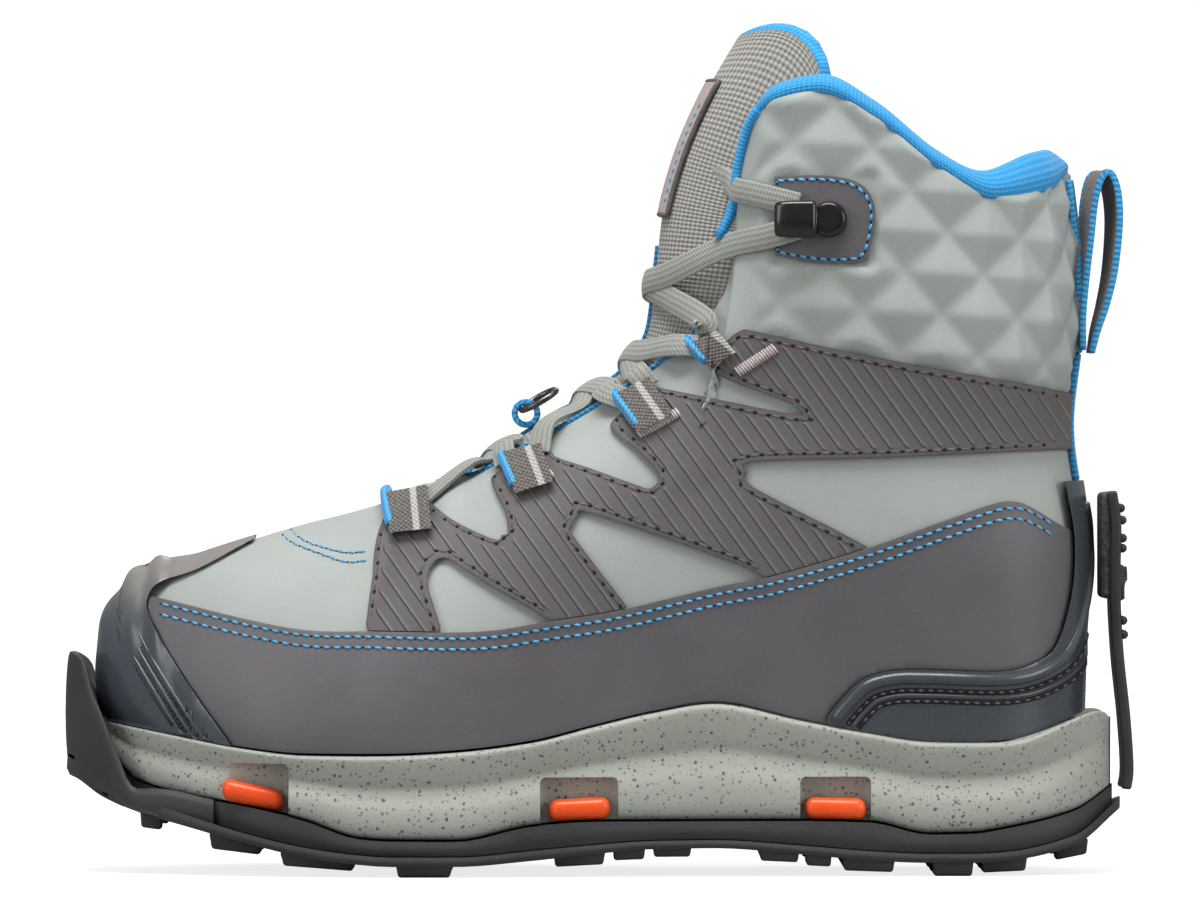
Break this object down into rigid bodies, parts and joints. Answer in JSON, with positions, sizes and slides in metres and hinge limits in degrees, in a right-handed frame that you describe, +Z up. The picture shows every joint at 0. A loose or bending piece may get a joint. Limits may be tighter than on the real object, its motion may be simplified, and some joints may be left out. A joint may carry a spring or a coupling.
{
  "type": "wading boot",
  "caption": "Left wading boot: lace-up ankle boot with padded collar, moulded toe cap and heel counter, foam midsole and lugged rubber outsole turned up over the toe.",
  "frame": {"origin": "bottom centre of the boot's bounding box, on the plane that the tread stands on", "axes": "+X towards the heel, -X towards the toe, +Y towards the inner side of this left boot, +Z up"},
  "size_m": [0.3, 0.1112, 0.2369],
  "materials": {
    "black_plastic": "glossy",
    "black_rubber": "matt",
    "blue_knit": "knitted",
    "grey_lace": "flat braid",
    "grey_weave": "basket weave",
    "grey_webbing": "ribbed webbing",
    "gunmetal": "dark, satin",
    "insole_foam": "matt",
    "light_grey_synthetic": "matt, finely grained",
    "matt_grey_overlay": "matt",
    "moulded_urethane": "glossy",
    "orange_lock": "satin",
    "smooth_grey_synthetic": "smooth, slight sheen",
    "speckled_foam": "matt with dark speckles"
  },
  "bodies": {
    "root": {"back_stay": "blue_knit", "collar_lining": "blue_knit", "heel_counter": "moulded_urethane", "heel_strap": "black_rubber", "hook_patch_inner": "matt_grey_overlay", "hook_patch_outer": "matt_grey_overlay", "insole": "insole_foam", "lace_cage_inner": "matt_grey_overlay", "lace_cage_outer": "matt_grey_overlay", "lace_crossing_1": "grey_lace", "lace_crossing_2": "grey_lace", "lace_crossing_3": "grey_lace", "lace_crossing_4": "grey_lace", "lace_end_inner": "grey_lace", "lace_end_outer": "grey_lace", "lace_hook_inner": "black_plastic", "lace_hook_outer": "black_plastic", "lace_keeper_inner_1": "grey_webbing", "lace_keeper_inner_2": "grey_webbing", "lace_keeper_inner_3": "grey_webbing", "lace_keeper_inner_4": "grey_webbing", "lace_keeper_outer_1": "grey_webbing", "lace_keeper_outer_2": "grey_webbing", "lace_keeper_outer_3": "grey_webbing", "lace_keeper_outer_4": "grey_webbing", "midsole": "speckled_foam", "mudguard_inner": "smooth_grey_synthetic", "mudguard_outer": "smooth_grey_synthetic", "outsole": "black_rubber", "pull_loop": "grey_webbing", "ring_cord": "blue_knit", "sole_carrier": "black_rubber", "sole_lock_inner_1": "orange_lock", "sole_lock_inner_2": "orange_lock", "sole_lock_inner_3": "orange_lock", "sole_lock_outer_1": "orange_lock", "sole_lock_outer_2": "orange_lock", "sole_lock_outer_3": "orange_lock", "strap_button": "black_rubber", "toe_cap": "moulded_urethane", "tongue": "grey_weave", "tongue_patch": "matt_grey_overlay", "tongue_ring": "gunmetal", "upper": "light_grey_synthetic"}
  },
  "joints": []
}
